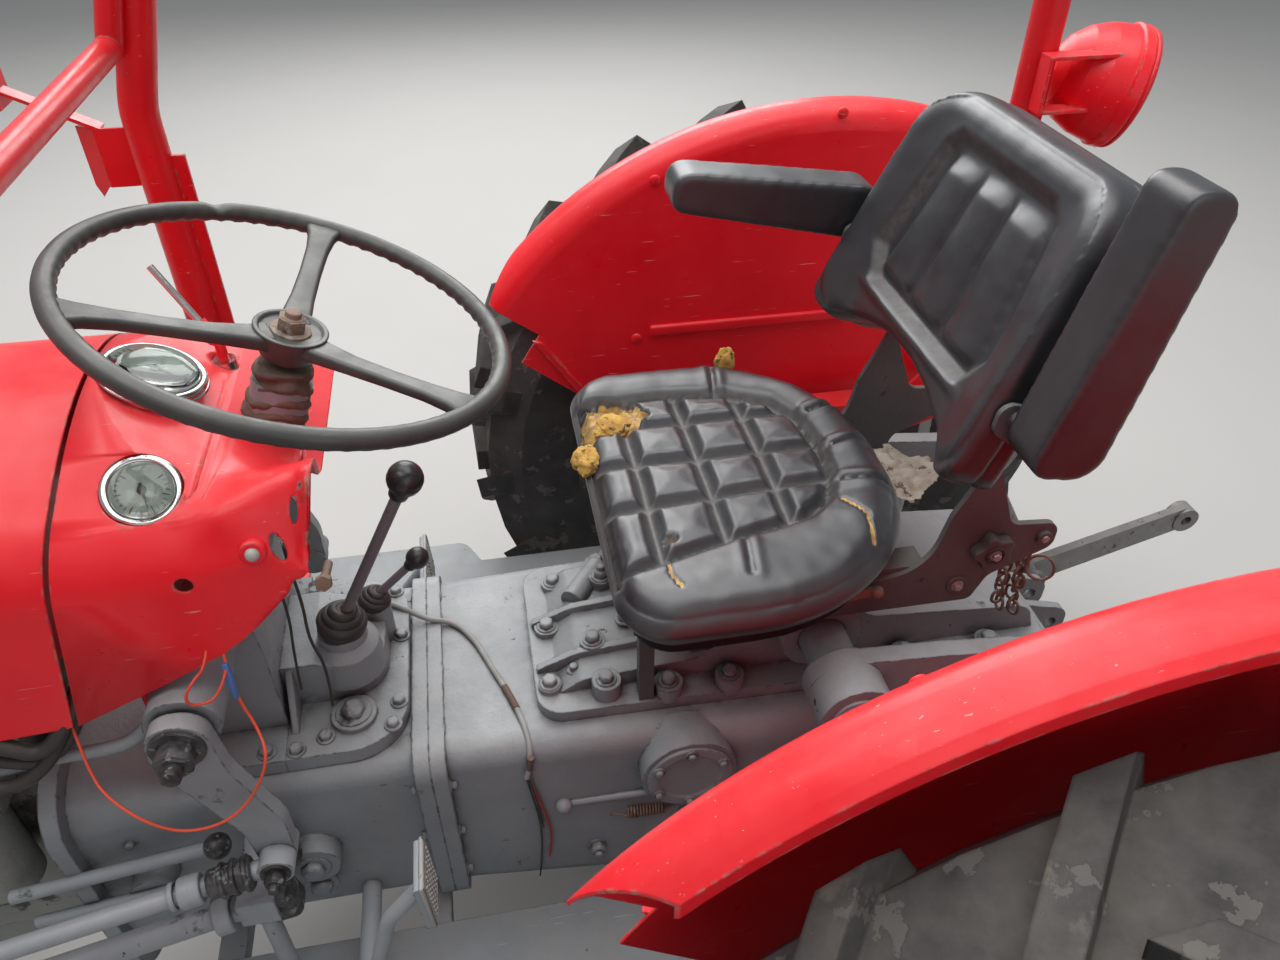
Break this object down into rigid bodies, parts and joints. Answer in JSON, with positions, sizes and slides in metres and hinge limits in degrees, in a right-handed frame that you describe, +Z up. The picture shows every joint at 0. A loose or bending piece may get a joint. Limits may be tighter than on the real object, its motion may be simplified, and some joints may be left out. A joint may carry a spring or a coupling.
{
  "type": "farm tractor",
  "caption": "Compact farm tractor with a tilting hood, front-axle steering, rear lift arms, padded seat and a four-post safety frame.",
  "frame": {"origin": "on the floor, under the middle of the overall length and width", "axes": "+X forward, +Y to the driver's left, +Z up"},
  "size_m": [3.0709, 1.68, 2.13],
  "materials": {
    "sheet_red": "faded red gloss, scratched",
    "frame_red": "faded red, chipped",
    "casting_grey": "grey paint over castings, oily dust",
    "engine_grey": "grey engine paint",
    "steel_dark": "dark oiled steel",
    "steel_bare": "worn bare steel",
    "exhaust_rust": "rusted",
    "tyre_black": "dusty rubber",
    "rim_paint": "dusty silver grey paint",
    "vinyl_black": "worn black vinyl",
    "plastic_black": "worn black",
    "gauge_chrome": "bright rim",
    "radiator_black": "matt black"
  },
  "bodies": {
    "chassis": {"engine": "engine_grey", "exhaust": "exhaust_rust", "front_bolster": "casting_grey", "front_axle": "casting_grey", "radius_rods": "steel_dark", "radiator": "radiator_black", "cooling_fan": "steel_dark", "fuel_tank": "sheet_red", "clutch_housing": "casting_grey", "gearbox_cover": "casting_grey", "gear_levers": "steel_dark", "centre_housing": "casting_grey", "axle_tubes": "casting_grey", "rear_cover": "casting_grey", "lift_cover": "casting_grey", "drawbar": "steel_dark", "steering_box": "casting_grey", "instrument_cowl": "sheet_red", "dash_fittings": "gauge_chrome", "fenders": "sheet_red", "footplates": "steel_dark", "pedals": "steel_bare", "front_posts": "frame_red", "rear_posts": "frame_red", "roof_frame": "frame_red", "front_cross_tube": "frame_red", "work_lamp": "sheet_red", "seat_frame": "steel_dark", "seat_cushion": "vinyl_black", "seat_back": "vinyl_black"},
    "hood_assembly": {"hood": "sheet_red", "grille": "sheet_red", "headlamps": "sheet_red"},
    "steering_wheel": {"steering_wheel": "plastic_black"},
    "lift_arms": {"lift_arms": "casting_grey"},
    "rear_wheel_left": {"rear_rim_left": "rim_paint", "rear_tyre_left": "tyre_black"},
    "knuckle_left": {"knuckle_left": "casting_grey"},
    "front_wheel_left": {"front_rim_left": "rim_paint", "front_tyre_left": "tyre_black"},
    "drop_arm_left": {"drop_arm_left": "casting_grey"},
    "drag_link_left": {"drag_link_left": "steel_dark"},
    "lift_rod_left": {"lift_rod_left": "steel_dark"},
    "lower_link_left": {"lower_link_left": "steel_dark"},
    "armrest_left": {"armrest_left": "vinyl_black"},
    "rear_wheel_right": {"rear_rim_right": "rim_paint", "rear_tyre_right": "tyre_black"},
    "knuckle_right": {"knuckle_right": "casting_grey"},
    "front_wheel_right": {"front_rim_right": "rim_paint", "front_tyre_right": "tyre_black"},
    "drop_arm_right": {"drop_arm_right": "casting_grey"},
    "drag_link_right": {"drag_link_right": "steel_dark"},
    "lift_rod_right": {"lift_rod_right": "steel_dark"},
    "lower_link_right": {"lower_link_right": "steel_dark"},
    "armrest_right": {"armrest_right": "vinyl_black"}
  },
  "joints": [
    {"name": "rear_wheel_left_spin", "type": "hinge", "parent": "chassis", "child": "rear_wheel_left", "pos_m": [-0.6585, 0.7, 0.61], "axis": [0, 1, 0], "continuous": true},
    {"name": "steer_left", "type": "hinge", "parent": "chassis", "child": "knuckle_left", "pos_m": [1.1715, 0.54, 0.54], "axis": [0, 0, 1], "range_deg": [-38, 38]},
    {"name": "front_wheel_left_spin", "type": "hinge", "parent": "knuckle_left", "child": "front_wheel_left", "pos_m": [1.1715, 0.68, 0.365], "axis": [0, 1, 0], "continuous": true},
    {"name": "rear_wheel_right_spin", "type": "hinge", "parent": "chassis", "child": "rear_wheel_right", "pos_m": [-0.6585, -0.7, 0.61], "axis": [0, 1, 0], "continuous": true},
    {"name": "steer_right", "type": "hinge", "parent": "chassis", "child": "knuckle_right", "pos_m": [1.1715, -0.54, 0.54], "axis": [0, 0, 1], "range_deg": [-38, 38]},
    {"name": "front_wheel_right_spin", "type": "hinge", "parent": "knuckle_right", "child": "front_wheel_right", "pos_m": [1.1715, -0.68, 0.365], "axis": [0, 1, 0], "continuous": true},
    {"name": "steering_wheel_turn", "type": "hinge", "parent": "chassis", "child": "steering_wheel", "pos_m": [0.0915, 0, 1.29], "axis": [-0.342, 0, 0.9397], "range_deg": [-456, 456]},
    {"name": "drop_arm_left_swing", "type": "hinge", "parent": "chassis", "child": "drop_arm_left", "pos_m": [0.2515, 0.246, 0.955], "axis": [0, 1, 0], "range_deg": [-22.5, 22.5]},
    {"name": "drag_link_left_swing", "type": "hinge", "parent": "drop_arm_left", "child": "drag_link_left", "pos_m": [0.2015, 0.268, 0.748], "axis": [0, 1, 0], "range_deg": [-21.5, 21.5]},
    {"name": "drop_arm_right_swing", "type": "hinge", "parent": "chassis", "child": "drop_arm_right", "pos_m": [0.2515, -0.246, 0.955], "axis": [0, 1, 0], "range_deg": [-22.5, 22.5]},
    {"name": "drag_link_right_swing", "type": "hinge", "parent": "drop_arm_right", "child": "drag_link_right", "pos_m": [0.2015, -0.268, 0.748], "axis": [0, 1, 0], "range_deg": [-21.5, 21.5]},
    {"name": "hood_tilt", "type": "hinge", "parent": "chassis", "child": "hood_assembly", "pos_m": [1.2915, 0, 0.69], "axis": [0, 1, 0], "range_deg": [0, 70]},
    {"name": "lift", "type": "hinge", "parent": "chassis", "child": "lift_arms", "pos_m": [-0.4685, 0, 0.855], "axis": [0, 1, 0], "range_deg": [-12, 25]},
    {"name": "lift_rod_left_swing", "type": "hinge", "parent": "lift_arms", "child": "lift_rod_left", "pos_m": [-0.8585, 0.24, 0.83], "axis": [0, 1, 0], "range_deg": [-27, 14]},
    {"name": "lower_link_left_swing", "type": "hinge", "parent": "chassis", "child": "lower_link_left", "pos_m": [-0.6985, 0.217, 0.43], "axis": [0, 1, 0], "range_deg": [-12.5, 25]},
    {"name": "lift_rod_right_swing", "type": "hinge", "parent": "lift_arms", "child": "lift_rod_right", "pos_m": [-0.8585, -0.24, 0.83], "axis": [0, 1, 0], "range_deg": [-27, 14]},
    {"name": "lower_link_right_swing", "type": "hinge", "parent": "chassis", "child": "lower_link_right", "pos_m": [-0.6985, -0.217, 0.43], "axis": [0, 1, 0], "range_deg": [-12.5, 25]},
    {"name": "armrest_left_fold", "type": "hinge", "parent": "chassis", "child": "armrest_left", "pos_m": [-0.5965, 0.256, 1.222], "axis": [0, -1, 0], "range_deg": [-91.4, 0]},
    {"name": "armrest_right_fold", "type": "hinge", "parent": "chassis", "child": "armrest_right", "pos_m": [-0.5965, -0.256, 1.222], "axis": [0, -1, 0], "range_deg": [0, 91.4]}
  ],
  "couplings": [
    {"joint": "steer_right", "follows": "steer_left", "ratio": 1},
    {"joint": "steering_wheel_turn", "follows": "steer_left", "ratio": 12},
    {"joint": "drop_arm_left_swing", "follows": "steer_left", "ratio": -0.58},
    {"joint": "drag_link_left_swing", "follows": "steer_left", "ratio": 0.548},
    {"joint": "drop_arm_right_swing", "follows": "steer_left", "ratio": 0.58},
    {"joint": "drag_link_right_swing", "follows": "steer_left", "ratio": -0.548},
    {"joint": "lift_rod_left_swing", "follows": "lift", "ratio": -1.042},
    {"joint": "lower_link_left_swing", "follows": "lift", "ratio": 0.97},
    {"joint": "lift_rod_right_swing", "follows": "lift", "ratio": -1.042},
    {"joint": "lower_link_right_swing", "follows": "lift", "ratio": 0.97}
  ]
}
